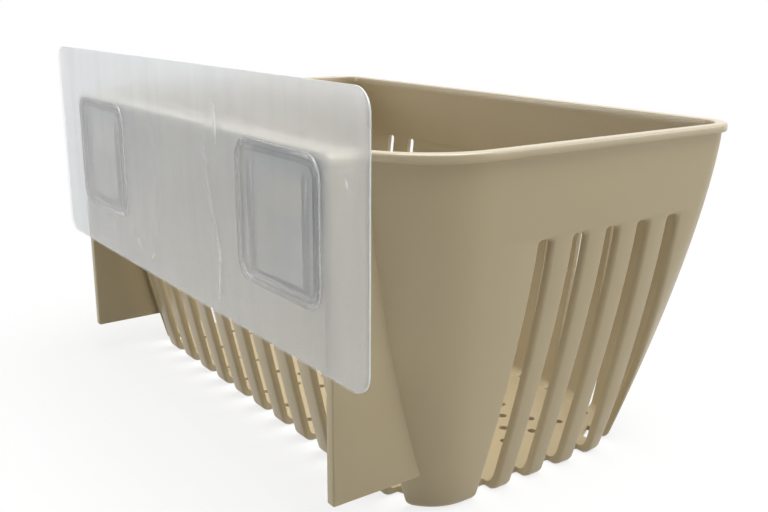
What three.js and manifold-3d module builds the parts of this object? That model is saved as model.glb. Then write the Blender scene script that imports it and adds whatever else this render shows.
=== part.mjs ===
// Plastic wall basket: a tapered, slotted basket that hangs by two tabs on two clear hooks. The hooks
// stand in the windows of a frosted sheet, which has an adhesive layer and a peel-off liner behind it.
import * as THREE from 'three';
import { mergeVertices } from 'three/addons/utils/BufferGeometryUtils.js';
import Module from 'manifold-3d';

const wasm = await Module();
wasm.setup();

// Driving dimensions in millimetres. X runs along the wall, the wall face is Y = 0 and the basket lies
// towards -Y. Heights are measured from the underside of the basket, depths from the wall face.

// Layers of the wall sheet, from the wall outwards
const LINER_THICKNESS = 0.2;
const ADHESIVE_THICKNESS = 0.6;
const SHEET_THICKNESS = 0.5;
const SHEET_OVERHANG = 17.6;
const SHEET_RISE = 17.6;
const SHEET_HEIGHT = 75.4;
const SHEET_CORNER = 6;
const WINDOW_CLEARANCE = 0.2;

// Clear hooks
const HOOK_WIDTH = 41;
const HOOK_HEIGHT = 37.6;
const HOOK_CORNER = 4.5;
const HOOK_FIN_GAP = 1.8;
const FLANGE_WIDTH = 2;
const PLATE_STANDOUT = 1.3;
const PLATE_THICKNESS = 1.2;
const DISH_WALL = 1.2;
const RIB_WIDTH = 3.2;
const RIB_HEIGHT = 0.7;
const RIB_RISE = 2.6;
const TONGUE_WIDTH = 25.6;
const TONGUE_THICKNESS = 1.6;
const TONGUE_SIDE_GAP = 0.4;
const TONGUE_SLOPE = 0.1;
const TONGUE_OVERLAP = 11;
const SHELF_THICKNESS = 2;
const SHELF_EDGE = 1;

// Fit between the basket and what it hangs on
const SEAT_GAP = 0.3;
const TONGUE_WALL_GAP = 1.7;
const TAB_WIDTH = 30;
const TAB_THICKNESS = 2;
const TAB_LENGTH = 18;
const TAB_CHAMFER = 0.5;

// Basket walls
const RIM_LENGTH = 220;
const RIM_DEPTH = 136;
const RIM_HEIGHT = 108.3;
const LIP_OVERHANG = 1.5;
const LIP_HEIGHT = 2.6;
const LIP_ROUND = 0.7;
const WALL = 2.4;
const FLOOR = 2.4;
const END_TAPER = 14;
const REAR_TAPER = 19;
const FRONT_TAPER = 14.1;
const WALL_CURVE = 1.4;
const FOOT_ROUND = 2.6;
const FLOOR_ROUND = 2;
const REAR_CORNER_TOP = 30;
const REAR_CORNER_BASE = 17;
const FRONT_CORNER_TOP = 11;
const FRONT_CORNER_BASE = 31;

// Rear frame of the basket: two fins joined by a ledge
const FIN_THICKNESS = 3.4;
const FIN_END_INSET = 3.1;
const FIN_BOTTOM = 12.2;
const LEDGE_THICKNESS = 2.2;
const FRAME_CORNER = 3;

// Slots, wider at the foot, and round drain holes
const SLOT_DROP = 27;
const SLOT_TOP_WIDTH = 5.4;
const SLOT_FOOT_WIDTH = 7.5;
const SLOT_ROUND = 1.6;
const SLOT_BITE = 4.5;
const SLOT_PITCH = 14.85;
const END_SLOT_COUNT = 5;
const END_SLOT_PITCH = 13.75;
const END_SLOT_MARGIN = 25.4;
const END_SLOT_LEAN = 8.2;
const REAR_SLOT_MARGIN = 2;
const FRONT_SLOT_COUNT = 3;
const FRONT_SLOT_MARGIN = 25.65;
const FRONT_SLOT_NARROWING = 1;
const FRONT_SLOT_RISE = 2.5;
const FRONT_SLOT_STEP = 10;
const HOLE_DIAMETER = 3;
const HOLE_ROW_PITCH = 6.4;
const HOLE_END_MARGIN = 18;
const HOLE_ROW_MARGIN = 7.6;

// Facets of the curved stretches
const CORNER_STEPS = 6;
const WALL_STEPS = 8;
const ROUND_STEPS = 3;
const HOLE_SIDES = 8;

// How far a cutter runs past the face that it cuts
const CUT_PAST = 2;

// Depths of the stack, from the wall face
const sheetBack = LINER_THICKNESS + ADHESIVE_THICKNESS;
const sheetFront = sheetBack + SHEET_THICKNESS;
const plateFront = sheetFront + PLATE_STANDOUT;
const plateBack = plateFront - PLATE_THICKNESS;
const framePlane = sheetFront + SEAT_GAP;
const tabBack = plateFront + SEAT_GAP;
const tabFront = tabBack + TAB_THICKNESS;
const tongueTopFront = tabFront + SEAT_GAP + TONGUE_SLOPE * TONGUE_OVERLAP + TONGUE_THICKNESS;

// Heights that the pieces share
const lipBottom = RIM_HEIGHT - LIP_HEIGHT;
const ledgeUnderside = RIM_HEIGHT - LEDGE_THICKNESS;
const tabBottom = ledgeUnderside - TAB_LENGTH;
const tongueTop = tabBottom + TONGUE_OVERLAP;
const hookTop = ledgeUnderside - SEAT_GAP;
const hookBottom = hookTop - HOOK_HEIGHT;
const shelfBottom = hookBottom + SHELF_EDGE;
const shelfTop = shelfBottom + SHELF_THICKNESS;
const slotTop = RIM_HEIGHT - SLOT_DROP;
const sheetTop = RIM_HEIGHT + SHEET_RISE;
const sheetMiddle = sheetTop - SHEET_HEIGHT / 2;

// Outside of the wall just under the lip, and of the base
const wallTop = {
  half: RIM_LENGTH / 2 - LIP_OVERHANG,
  rear: tongueTopFront + TONGUE_WALL_GAP,
  front: tongueTopFront + TONGUE_WALL_GAP + RIM_DEPTH - 2 * LIP_OVERHANG,
  rearCorner: REAR_CORNER_TOP,
  frontCorner: FRONT_CORNER_TOP,
};
const base = {
  half: wallTop.half - END_TAPER,
  rear: wallTop.rear + REAR_TAPER,
  front: wallTop.front - FRONT_TAPER,
  rearCorner: REAR_CORNER_BASE,
  frontCorner: FRONT_CORNER_BASE,
};
const finOuter = base.half - FIN_END_INSET;
const finInner = finOuter - FIN_THICKNESS;
const hookCentre = finInner - HOOK_FIN_GAP - HOOK_WIDTH / 2;

// Frames for extruding a profile: one drawn in (y, z) along +X, one drawn in (x, z) away from the wall
const xAxis = new THREE.Vector3(1, 0, 0);
const yAxis = new THREE.Vector3(0, 1, 0);
const zAxis = new THREE.Vector3(0, 0, 1);
const ALONG_X = new THREE.Matrix4().makeBasis(yAxis, zAxis, xAxis);
const FROM_WALL = new THREE.Matrix4().makeBasis(xAxis, zAxis, yAxis.clone().negate());

/** A closed geometry as a solid that can be joined and cut. */
function solidOf(geometry) {
  geometry.deleteAttribute('normal');
  geometry.deleteAttribute('uv');
  const merged = mergeVertices(geometry);
  return new wasm.Manifold(new wasm.Mesh({
    numProp: 3,
    vertProperties: Float32Array.from(merged.attributes.position.array),
    triVerts: Uint32Array.from(merged.index.array),
  }));
}

/** A named mesh of a finished solid. */
function meshOf(name, solid, material) {
  const { vertProperties, triVerts } = solid.getMesh();
  const geometry = new THREE.BufferGeometry();
  geometry.setAttribute('position', new THREE.BufferAttribute(vertProperties, 3));
  geometry.setIndex(new THREE.BufferAttribute(triVerts, 1));
  geometry.computeVertexNormals();
  const mesh = new THREE.Mesh(geometry, material);
  mesh.name = name;
  return mesh;
}

/** A profile extruded between two distances along the third axis of its frame. */
function prism(shape, frame, from, to) {
  const geometry = new THREE.ExtrudeGeometry(shape, {
    depth: to - from,
    bevelEnabled: false,
    curveSegments: ROUND_STEPS,
  });
  geometry.translate(0, 0, from);
  geometry.applyMatrix4(frame);
  return solidOf(geometry);
}

/** A straight-sided profile. */
function polygon(points) {
  return new THREE.Shape(points.map(([across, up]) => new THREE.Vector2(across, up)));
}

/** A rectangle with round corners about a middle point. */
function roundedRectangle(width, height, corner, middleX, middleZ) {
  const shape = new THREE.Shape();
  const right = middleX + width / 2 - corner;
  const left = middleX - width / 2 + corner;
  const top = middleZ + height / 2 - corner;
  const bottom = middleZ - height / 2 + corner;
  shape.absarc(right, top, corner, 0, Math.PI / 2);
  shape.absarc(left, top, corner, Math.PI / 2, Math.PI);
  shape.absarc(left, bottom, corner, Math.PI, 1.5 * Math.PI);
  shape.absarc(right, bottom, corner, 1.5 * Math.PI, 2 * Math.PI);
  shape.closePath();
  return shape;
}

/** Share of the full taper at a height: none under the lip, all of it at the underside. */
function taperAt(height) {
  return Math.max(0, 1 - height / lipBottom) ** WALL_CURVE;
}

/** Plan of the basket at a height, moved inwards by an inset, anticlockwise from above. */
function planRing(height, inset) {
  const share = taperAt(height);
  const between = (key) => THREE.MathUtils.lerp(wallTop[key], base[key], share);
  const half = between('half') - inset;
  const rear = -between('rear') - inset;
  const front = -between('front') + inset;
  const rearCorner = Math.max(between('rearCorner') - inset, WALL);
  const frontCorner = Math.max(between('frontCorner') - inset, WALL);
  const corners = [
    [half - rearCorner, rear - rearCorner, rearCorner],
    [rearCorner - half, rear - rearCorner, rearCorner],
    [frontCorner - half, front + frontCorner, frontCorner],
    [half - frontCorner, front + frontCorner, frontCorner],
  ];
  return corners.flatMap(([x, y, radius], quarter) => (
    Array.from({ length: CORNER_STEPS + 1 }, (_, step) => {
      const angle = (quarter + step / CORNER_STEPS) * Math.PI / 2;
      return [x + radius * Math.cos(angle), y + radius * Math.sin(angle), height];
    })
  ));
}

/** A closed solid through convex rings that are stacked upwards. */
function loft(rings) {
  const count = rings[0].length;
  const faces = [];
  for (let level = 0; level + 1 < rings.length; level += 1) {
    for (let i = 0; i < count; i += 1) {
      const low = level * count + i;
      const lowNext = level * count + (i + 1) % count;
      faces.push(low, lowNext, lowNext + count, low, lowNext + count, low + count);
    }
  }
  const lid = (rings.length - 1) * count;
  for (let i = 1; i + 1 < count; i += 1) {
    faces.push(0, i + 1, i, lid, lid + i, lid + i + 1);
  }
  const geometry = new THREE.BufferGeometry();
  geometry.setAttribute('position', new THREE.Float32BufferAttribute(rings.flat(2), 3));
  geometry.setIndex(faces);
  return solidOf(geometry);
}

/** Rings of a wall with a rounded foot, from a floor height up to a top height. */
function wallRings(floorHeight, round, inset, topHeight) {
  const foot = Array.from({ length: ROUND_STEPS }, (_, step) => {
    const angle = step / ROUND_STEPS * Math.PI / 2;
    const height = floorHeight + round * (1 - Math.cos(angle));
    return planRing(height, inset + round * (1 - Math.sin(angle)));
  });
  const wallStart = floorHeight + round;
  const wall = Array.from({ length: WALL_STEPS + 1 }, (_, step) => (
    planRing(THREE.MathUtils.lerp(wallStart, topHeight, step / WALL_STEPS), inset)
  ));
  return [...foot, ...wall];
}

/** Solid inside of the outer wall and lip, before it is hollowed. */
function basketBlock() {
  return loft([
    ...wallRings(0, FOOT_ROUND, 0, lipBottom),
    planRing(lipBottom, -LIP_OVERHANG),
    planRing(RIM_HEIGHT - LIP_ROUND, -LIP_OVERHANG),
    planRing(RIM_HEIGHT, LIP_ROUND - LIP_OVERHANG),
  ]);
}

/** The hollow of the basket, open past the rim. */
function basketHollow() {
  return loft([
    ...wallRings(FLOOR, FLOOR_ROUND, WALL, lipBottom),
    planRing(RIM_HEIGHT + CUT_PAST, WALL),
  ]);
}

/** The two fins and the ledge over them, as one arch run into the wall. */
function rearFrame() {
  const corner = finOuter - FRAME_CORNER;
  const arch = new THREE.Shape();
  arch.moveTo(-finInner, FIN_BOTTOM);
  arch.lineTo(-finInner, ledgeUnderside);
  arch.lineTo(finInner, ledgeUnderside);
  arch.lineTo(finInner, FIN_BOTTOM);
  arch.lineTo(finOuter, FIN_BOTTOM);
  arch.absarc(corner, RIM_HEIGHT - FRAME_CORNER, FRAME_CORNER, 0, Math.PI / 2);
  arch.absarc(-corner, RIM_HEIGHT - FRAME_CORNER, FRAME_CORNER, Math.PI / 2, Math.PI);
  arch.lineTo(-finOuter, FIN_BOTTOM);
  return prism(arch, FROM_WALL, framePlane, base.rear + base.rearCorner);
}

/** A tab under the ledge, which drops between a hook's plate and tongue. */
function hangingTab(middleX) {
  const profile = polygon([
    [-tabBack, RIM_HEIGHT - LEDGE_THICKNESS / 2],
    [-tabBack, tabBottom + TAB_CHAMFER],
    [-tabBack - TAB_CHAMFER, tabBottom],
    [-tabFront + TAB_CHAMFER, tabBottom],
    [-tabFront, tabBottom + TAB_CHAMFER],
    [-tabFront, RIM_HEIGHT - LEDGE_THICKNESS / 2],
  ]);
  return prism(profile, ALONG_X, middleX - TAB_WIDTH / 2, middleX + TAB_WIDTH / 2);
}

/** A slot's profile: wide at the foot, with a flat top between two rounded corners. */
function slotProfile(topMiddle, footMiddle, top, narrowing = 0) {
  const halfTop = (SLOT_TOP_WIDTH - narrowing) / 2;
  const halfFoot = (SLOT_FOOT_WIDTH - narrowing) / 2;
  const [left, right] = [topMiddle - halfTop, topMiddle + halfTop];
  const shape = new THREE.Shape();
  shape.moveTo(footMiddle - halfFoot, -CUT_PAST);
  shape.lineTo(footMiddle + halfFoot, -CUT_PAST);
  shape.lineTo(right, top - SLOT_ROUND);
  shape.quadraticCurveTo(right, top, right - SLOT_ROUND, top);
  shape.lineTo(left + SLOT_ROUND, top);
  shape.quadraticCurveTo(left, top, left, top - SLOT_ROUND);
  return shape;
}

/** How far a wall has fallen back at a distance past the start of its round corner. */
function cornerSag(past, radius) {
  return radius - Math.sqrt(radius ** 2 - Math.max(0, past) ** 2);
}

/** Slots of both end walls, which lean back towards the wall at the foot. */
function endSlots() {
  const outer = wallTop.half + CUT_PAST;
  return Array.from({ length: END_SLOT_COUNT }, (_, index) => {
    const topMiddle = -wallTop.front + END_SLOT_MARGIN + index * END_SLOT_PITCH;
    const footMiddle = topMiddle + END_SLOT_LEAN;
    const past = SLOT_FOOT_WIDTH / 2 - footMiddle - base.front + base.frontCorner;
    const inner = base.half - SLOT_BITE - cornerSag(past, base.frontCorner);
    const shape = slotProfile(topMiddle, footMiddle, slotTop);
    return [prism(shape, ALONG_X, inner, outer), prism(shape, ALONG_X, -outer, -inner)];
  }).flat();
}

/** Upright slots across the rear wall between the fins, an equal number each side of its middle. */
function rearSlots() {
  const room = finInner - REAR_SLOT_MARGIN - SLOT_FOOT_WIDTH / 2;
  const middles = Array.from(
    { length: Math.floor(room / SLOT_PITCH + 0.5) },
    (_, index) => (index + 0.5) * SLOT_PITCH,
  );
  return middles.flatMap((middle) => {
    const past = middle + SLOT_FOOT_WIDTH / 2 - base.half + base.rearCorner;
    const end = base.rear + SLOT_BITE + cornerSag(past, base.rearCorner);
    return [middle, -middle].map((x) => prism(slotProfile(x, x, slotTop), FROM_WALL, wallTop.rear, end));
  });
}

/** Narrower upright slots of the front wall near each end, the innermost one lower than the others. */
function frontSlots() {
  const outer = wallTop.front + CUT_PAST;
  return Array.from({ length: FRONT_SLOT_COUNT }, (_, index) => {
    const middle = base.half - FRONT_SLOT_MARGIN - index * SLOT_PITCH;
    const step = index + 1 < FRONT_SLOT_COUNT ? 0 : FRONT_SLOT_STEP;
    const top = slotTop + FRONT_SLOT_RISE - step;
    const past = middle + SLOT_FOOT_WIDTH / 2 - base.half + base.frontCorner;
    const inner = base.front - SLOT_BITE - cornerSag(past, base.frontCorner);
    const profiles = [middle, -middle].map((x) => slotProfile(x, x, top, FRONT_SLOT_NARROWING));
    return profiles.map((profile) => prism(profile, FROM_WALL, inner, outer));
  }).flat();
}

/** Drain holes in staggered rows over the floor, in step with the rear slots. */
function drainHoles() {
  const first = base.rear + HOLE_ROW_MARGIN;
  const rows = Math.floor((base.front - HOLE_ROW_MARGIN - first) / HOLE_ROW_PITCH);
  const reach = base.half - HOLE_END_MARGIN;
  const holes = [];
  for (let row = 0; row <= rows; row += 1) {
    const shift = row % 2 === 0 ? SLOT_PITCH / 2 : 0;
    const columns = Math.floor((reach - shift) / SLOT_PITCH);
    for (let x = shift + columns * SLOT_PITCH; x > -reach; x -= SLOT_PITCH) {
      const radius = HOLE_DIAMETER / 2;
      const hole = new THREE.CylinderGeometry(radius, radius, 2 * (FLOOR + CUT_PAST), HOLE_SIDES);
      hole.rotateX(Math.PI / 2);
      hole.translate(x, -first - row * HOLE_ROW_PITCH, 0);
      holes.push(solidOf(hole));
    }
  }
  return holes;
}

/** The basket: walls, lip, rear frame and tabs in one moulding, hollowed, slotted and drained. */
function basketSolid() {
  const hollow = basketHollow();
  const walled = basketBlock().add(rearFrame()).subtract(hollow);
  const hung = [hangingTab(hookCentre), hangingTab(-hookCentre)].reduce((sum, tab) => sum.add(tab), walled);
  return [...endSlots(), ...rearSlots(), ...frontSlots(), ...drainHoles()]
    .reduce((sum, cutter) => sum.subtract(cutter), hung);
}

/** A U-shaped rib around the lower three sides of a hook's window. */
function ribProfile(middleX) {
  const inner = TONGUE_WIDTH / 2 + TONGUE_SIDE_GAP;
  const outer = inner + RIB_WIDTH;
  const ends = tongueTop + RIB_RISE - RIB_WIDTH / 2;
  const bend = shelfTop - RIB_WIDTH / 2;
  const shape = new THREE.Shape();
  shape.moveTo(middleX - outer, ends);
  shape.lineTo(middleX - outer, bend);
  shape.lineTo(middleX + outer, bend);
  shape.absarc(middleX + inner + RIB_WIDTH / 2, ends, RIB_WIDTH / 2, 0, Math.PI);
  shape.lineTo(middleX + inner, shelfTop);
  shape.lineTo(middleX - inner, shelfTop);
  shape.absarc(middleX - inner - RIB_WIDTH / 2, ends, RIB_WIDTH / 2, 0, Math.PI);
  return shape;
}

/** The hook's tongue, which leans away from its plate above the shelf that carries it. */
function tongueProfile() {
  const face = (height) => tabFront + SEAT_GAP + TONGUE_SLOPE * (height - tabBottom);
  return polygon([
    [-plateBack, shelfBottom],
    [-face(shelfBottom) - TONGUE_THICKNESS, shelfBottom],
    [-tongueTopFront, tongueTop],
    [-face(tongueTop), tongueTop],
    [-face(shelfTop), shelfTop],
    [-plateBack, shelfTop],
  ]);
}

/** One clear hook: flange, shallow dish, ribbed window and tongue in one moulding. */
function hookSolid(middleX) {
  const middleZ = (hookTop + hookBottom) / 2;
  const outline = (growth) => roundedRectangle(
    HOOK_WIDTH + 2 * growth,
    HOOK_HEIGHT + 2 * growth,
    HOOK_CORNER + growth,
    middleX,
    middleZ,
  );
  const windowWidth = TONGUE_WIDTH + 2 * TONGUE_SIDE_GAP;
  const windowHeight = tongueTop - shelfTop;
  const windowMiddle = (tongueTop + shelfTop) / 2;
  const window = roundedRectangle(windowWidth, windowHeight, RIB_HEIGHT, middleX, windowMiddle);
  const [tongueLeft, tongueRight] = [middleX - TONGUE_WIDTH / 2, middleX + TONGUE_WIDTH / 2];
  return prism(outline(FLANGE_WIDTH), FROM_WALL, LINER_THICKNESS, sheetBack)
    .add(prism(outline(0), FROM_WALL, LINER_THICKNESS, plateFront))
    .subtract(prism(outline(-DISH_WALL), FROM_WALL, LINER_THICKNESS - CUT_PAST, plateBack))
    .add(prism(ribProfile(middleX), FROM_WALL, plateBack - RIB_HEIGHT, plateFront))
    .subtract(prism(window, FROM_WALL, LINER_THICKNESS, plateFront + CUT_PAST))
    .add(prism(tongueProfile(), ALONG_X, tongueLeft, tongueRight));
}

/** One full-size layer of the wall sheet. */
function layer(from, to) {
  const width = 2 * (finOuter + SHEET_OVERHANG);
  return prism(roundedRectangle(width, SHEET_HEIGHT, SHEET_CORNER, 0, sheetMiddle), FROM_WALL, from, to);
}

/** A layer with a window for each hook, which clears the hook's outline grown by a margin. */
function windowedLayer(from, to, margin) {
  const growth = margin + WINDOW_CLEARANCE;
  return [hookCentre, -hookCentre].reduce((sum, middleX) => sum.subtract(prism(
    roundedRectangle(
      HOOK_WIDTH + 2 * growth,
      HOOK_HEIGHT + 2 * growth,
      HOOK_CORNER + growth,
      middleX,
      (hookTop + hookBottom) / 2,
    ),
    FROM_WALL,
    from - CUT_PAST,
    to + CUT_PAST,
  )), layer(from, to));
}

const polypropylene = new THREE.MeshStandardMaterial({ color: 0xb3a68a, roughness: 0.45, metalness: 0 });
const frostedFilm = new THREE.MeshStandardMaterial({
  color: 0xe4e6e4, roughness: 0.6, metalness: 0, transparent: true, opacity: 0.6,
});
const clearPlastic = new THREE.MeshStandardMaterial({
  color: 0xeef1f2, roughness: 0.08, metalness: 0, transparent: true, opacity: 0.35,
});
const adhesiveGel = new THREE.MeshStandardMaterial({
  color: 0xe9ecec, roughness: 0.35, metalness: 0, transparent: true, opacity: 0.4,
});
const linerFilm = new THREE.MeshStandardMaterial({
  color: 0xf2f5f6, roughness: 0.12, metalness: 0, transparent: true, opacity: 0.25,
});

const wallPieces = new THREE.Group();
wallPieces.add(
  meshOf('release_liner', layer(0, LINER_THICKNESS), linerFilm),
  meshOf('adhesive_layer', windowedLayer(LINER_THICKNESS, sheetBack, FLANGE_WIDTH), adhesiveGel),
  meshOf('backing_sheet', windowedLayer(sheetBack, sheetFront, 0), frostedFilm),
  meshOf('hook_left', hookSolid(hookCentre), clearPlastic),
  meshOf('hook_right', hookSolid(-hookCentre), clearPlastic),
);

// The origin is the middle of the wall face.
const wallBasket = new THREE.Group();
wallBasket.add(meshOf('basket', basketSolid(), polypropylene), wallPieces);
wallBasket.position.z = -sheetMiddle;

export default wallBasket;
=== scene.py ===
"""Dressed model of a tapered plastic wall basket that hangs on two clear stick-on hooks.

Sizes are in millimetres, with heights measured from the underside of the basket and depths from the
wall face. They become metres in the row frame when a mesh is made.
"""

from __future__ import annotations

import logging
import math
from dataclasses import dataclass
from enum import Enum
from functools import partial
from typing import Any, Callable, Sequence

import bmesh
import bpy
from mathutils import Matrix, Vector
from mathutils.geometry import delaunay_2d_cdt


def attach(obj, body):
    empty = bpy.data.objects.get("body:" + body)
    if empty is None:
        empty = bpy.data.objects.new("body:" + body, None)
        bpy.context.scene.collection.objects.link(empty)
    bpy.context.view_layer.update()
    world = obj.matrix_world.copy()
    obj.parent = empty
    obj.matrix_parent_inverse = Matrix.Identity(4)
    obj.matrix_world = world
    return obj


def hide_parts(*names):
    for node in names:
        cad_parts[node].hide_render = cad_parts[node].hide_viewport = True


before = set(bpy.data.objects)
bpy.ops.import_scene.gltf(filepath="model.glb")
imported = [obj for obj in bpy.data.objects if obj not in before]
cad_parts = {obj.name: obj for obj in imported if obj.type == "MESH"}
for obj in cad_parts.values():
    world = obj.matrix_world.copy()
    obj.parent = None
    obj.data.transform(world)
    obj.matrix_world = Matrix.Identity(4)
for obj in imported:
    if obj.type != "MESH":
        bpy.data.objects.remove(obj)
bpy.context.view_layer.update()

MM = 0.001
TOUCH = 1e-6
WALL_MIDDLE = 88.2
HOOK_MIDDLE = 65.7
LEAST_CORNER = 1.0
NOISE_RANGE = (0.3, 0.7)
SCHLICK_POWER = 5.0
SHARP_ANGLE = math.radians(38)
WHITE = (1.0, 1.0, 1.0, 1.0)
LOG = logging.getLogger("wall_basket")

Point = tuple[float, float, float]
Flat = tuple[float, float]
Adder = Callable[..., bpy.types.Node]
Softener = Callable[[bmesh.types.BMesh], None]


class Side(Enum):
    """Side of the basket that a slot is cut through."""

    END_LEFT = "end_left"
    END_RIGHT = "end_right"
    REAR = "rear"
    FRONT = "front"


class Join(Enum):
    """How a second solid changes a first one."""

    ADD = "UNION"
    CUT = "DIFFERENCE"


class Layer(Enum):
    """Layer of the wall sheet, by its CAD node and the record's slot for its finish."""

    SHEET = ("backing_sheet", "frosted_film")
    GEL = ("adhesive_layer", "clear_adhesive")
    LINER = ("release_liner", "liner_film")


def linear(colour: str) -> tuple[float, float, float, float]:
    """Turn a written colour into the linear values that a shader takes.

    Args:
        colour: sRGB colour as six hexadecimal digits after a hash.

    Returns:
        Linear red, green and blue, with an alpha of one.
    """
    parts = [int(colour[start:start + 2], 16) / 255 for start in (1, 3, 5)]
    red, green, blue = (
        part / 12.92 if part <= 0.04045 else ((part + 0.055) / 1.055) ** 2.4 for part in parts
    )
    return red, green, blue, 1.0


def pattern_scale(size: float) -> float:
    """Texture scale at which a pattern's features are about this many millimetres across."""
    return 1 / (size * MM)


def feed(node: bpy.types.Node, inputs: dict[str | int, Any]) -> None:
    """Set or link a node's inputs.

    Args:
        node: the node.
        inputs: what each input takes, by its name or index: a value, an output socket, a node whose
            first output is meant, or a list of these.
    """
    for key, value in inputs.items():
        for item in value if isinstance(value, list) else [value]:
            if isinstance(item, bpy.types.Node):
                item = item.outputs[0]
            if isinstance(item, bpy.types.NodeSocket):
                node.id_data.links.new(item, node.inputs[key])
            else:
                node.inputs[key].default_value = item


def add_node(
    tree: bpy.types.NodeTree, kind: str, inputs: dict[str | int, Any] | None = None, **settings: Any
) -> bpy.types.Node:
    """Add a node, set its options, and set or link its inputs.

    Args:
        tree: node tree that takes the node.
        kind: type name of the node.
        inputs: what its inputs take.
        settings: options of the node itself.

    Returns:
        The new node.
    """
    node = tree.nodes.new(kind)
    for option, value in settings.items():
        setattr(node, option, value)
    feed(node, inputs or {})
    return node


def place(point: Point) -> Point:
    """Move a point from millimetres above the underside to metres in the row frame."""
    return point[0] * MM, point[1] * MM, (point[2] - WALL_MIDDLE) * MM


def arc(centre: Flat, radius: float, first: float, last: float, steps: int) -> list[Flat]:
    """Points along an arc.

    Args:
        centre: middle of the arc.
        radius: radius of the arc.
        first: angle of the first point, in quarter turns.
        last: angle of the last point, in quarter turns.
        steps: facets of the arc.

    Returns:
        The points, with both ends.
    """
    angles = [(first + (last - first) * step / steps) * math.pi / 2 for step in range(steps + 1)]
    return [(centre[0] + radius * math.cos(a), centre[1] + radius * math.sin(a)) for a in angles]


def object_of(name: str, work: bmesh.types.BMesh) -> bpy.types.Object:
    """Turn a working mesh into an object in the scene.

    Args:
        name: name of the object and of its mesh.
        work: working mesh, which is used up.

    Returns:
        The object.
    """
    mesh = bpy.data.meshes.new(name)
    work.to_mesh(mesh)
    work.free()
    piece = bpy.data.objects.new(name, mesh)
    bpy.context.scene.collection.objects.link(piece)
    return piece


def solid(
    name: str, points: Sequence[Point], faces: Sequence[Sequence[int]], soften: Softener | None = None
) -> bpy.types.Object:
    """Make a closed mesh object whose faces point outwards.

    Args:
        name: name of the object.
        points: corner points in millimetres.
        faces: corner numbers of each face.
        soften: a last change to the mesh while it is still in millimetres.

    Returns:
        The object.
    """
    work = bmesh.new()
    corners = [work.verts.new(point) for point in points]
    for face in faces:
        work.faces.new([corners[index] for index in face])
    bmesh.ops.recalc_face_normals(work, faces=work.faces[:])
    if soften:
        soften(work)
    for corner in work.verts:
        corner.co = place(tuple(corner.co))
    return object_of(name, work)


def lofted(
    name: str, rings: Sequence[Sequence[Point]], soften: Softener | None = None, rungs: bool = False
) -> bpy.types.Object:
    """Make a closed solid through rings of equal length, with both ends closed.

    Args:
        name: name of the object.
        rings: closed rings in order.
        soften: a last change to the mesh.
        rungs: whether a ladder of faces closes each end, as a ring that isn't flat needs.

    Returns:
        The object.
    """
    count = len(rings[0])
    last = (len(rings) - 1) * count
    faces: list[Sequence[int]] = [
        (row + step, row + (step + 1) % count, row + count + (step + 1) % count, row + count + step)
        for row in range(0, last, count)
        for step in range(count)
    ]
    if rungs:
        faces += [
            (row + step, row + step + 1, row + count - 2 - step, row + count - 1 - step)
            for row in (0, last)
            for step in range(count // 2 - 1)
        ]
    else:
        faces += [range(count - 1, -1, -1), range(last, last + count)]
    return solid(name, [point for ring in rings for point in ring], faces, soften)


def rounded_rectangle(
    width: float, height: float, corner: float, middle: Flat, steps: int = 8
) -> list[Flat]:
    """Outline of a rectangle with round corners, anticlockwise.

    Args:
        width: full width.
        height: full height.
        corner: corner radius.
        middle: middle point.
        steps: facets of each corner.

    Returns:
        The outline's points.
    """
    outline = []
    for quarter, (across, up) in enumerate([(1, 1), (-1, 1), (-1, -1), (1, -1)]):
        centre = middle[0] + across * (width / 2 - corner), middle[1] + up * (height / 2 - corner)
        outline += arc(centre, corner, quarter, quarter + 1, steps)
    return outline


def round_edges(work: bmesh.types.BMesh, edges: list[bmesh.types.BMEdge], radius: float) -> None:
    """Round some edges of a working mesh with three facets."""
    bmesh.ops.bevel(work, geom=edges, offset=radius, segments=3, profile=0.5, affect="EDGES")


def standing_prism(
    name: str, outline: Sequence[Flat], near: float, far: float, radius: float = 0.0
) -> bpy.types.Object:
    """Extrude an outline in (x, z) between two depths from the wall.

    Args:
        name: name of the object.
        outline: closed outline.
        near: depth of the face nearer to the wall.
        far: depth of the other face.
        radius: rounding of the edges of both faces, if any.

    Returns:
        The object.
    """
    def soften(work: bmesh.types.BMesh) -> None:
        """Round the edges that lie in either face."""
        rims = [edge for edge in work.edges if abs(edge.verts[0].co.y - edge.verts[1].co.y) < TOUCH]
        round_edges(work, rims, radius)

    rings = [[(x, -depth, z) for x, z in outline] for depth in (near, far)]
    return lofted(name, rings, soften if radius else None)


def side_prism(name: str, profile: Sequence[Flat], left: float, width: float) -> bpy.types.Object:
    """Extrude a profile in (y, z) along the wall from its lower x."""
    return lofted(name, [[(x, y, z) for y, z in profile] for x in (left, left + width)])


def remove(*helpers: bpy.types.Object) -> None:
    """Delete helper objects and their meshes.

    Args:
        helpers: objects that are no longer needed.
    """
    for helper in helpers:
        mesh = helper.data
        bpy.data.objects.remove(helper)
        bpy.data.meshes.remove(mesh)


def merged(name: str, parts: Sequence[bpy.types.Object]) -> bpy.types.Object:
    """Put separate solids into one object and delete the originals.

    Args:
        name: name of the new object.
        parts: the solids, which don't touch.

    Returns:
        The new object.
    """
    work = bmesh.new()
    for part in parts:
        work.from_mesh(part.data)
    remove(*parts)
    return object_of(name, work)


def settle(piece: bpy.types.Object) -> None:
    """Turn an object's modifiers into a plain, smooth-shaded mesh.

    Args:
        piece: object with live modifiers, which keeps none.
    """
    bpy.context.view_layer.update()
    evaluated = piece.evaluated_get(bpy.context.evaluated_depsgraph_get())
    mesh = bpy.data.meshes.new_from_object(evaluated)
    old = piece.data
    piece.modifiers.clear()
    piece.data = mesh
    bpy.data.meshes.remove(old)
    mesh.name = piece.name
    mesh.shade_smooth()
    mesh.set_sharp_from_angle(angle=SHARP_ANGLE)


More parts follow.
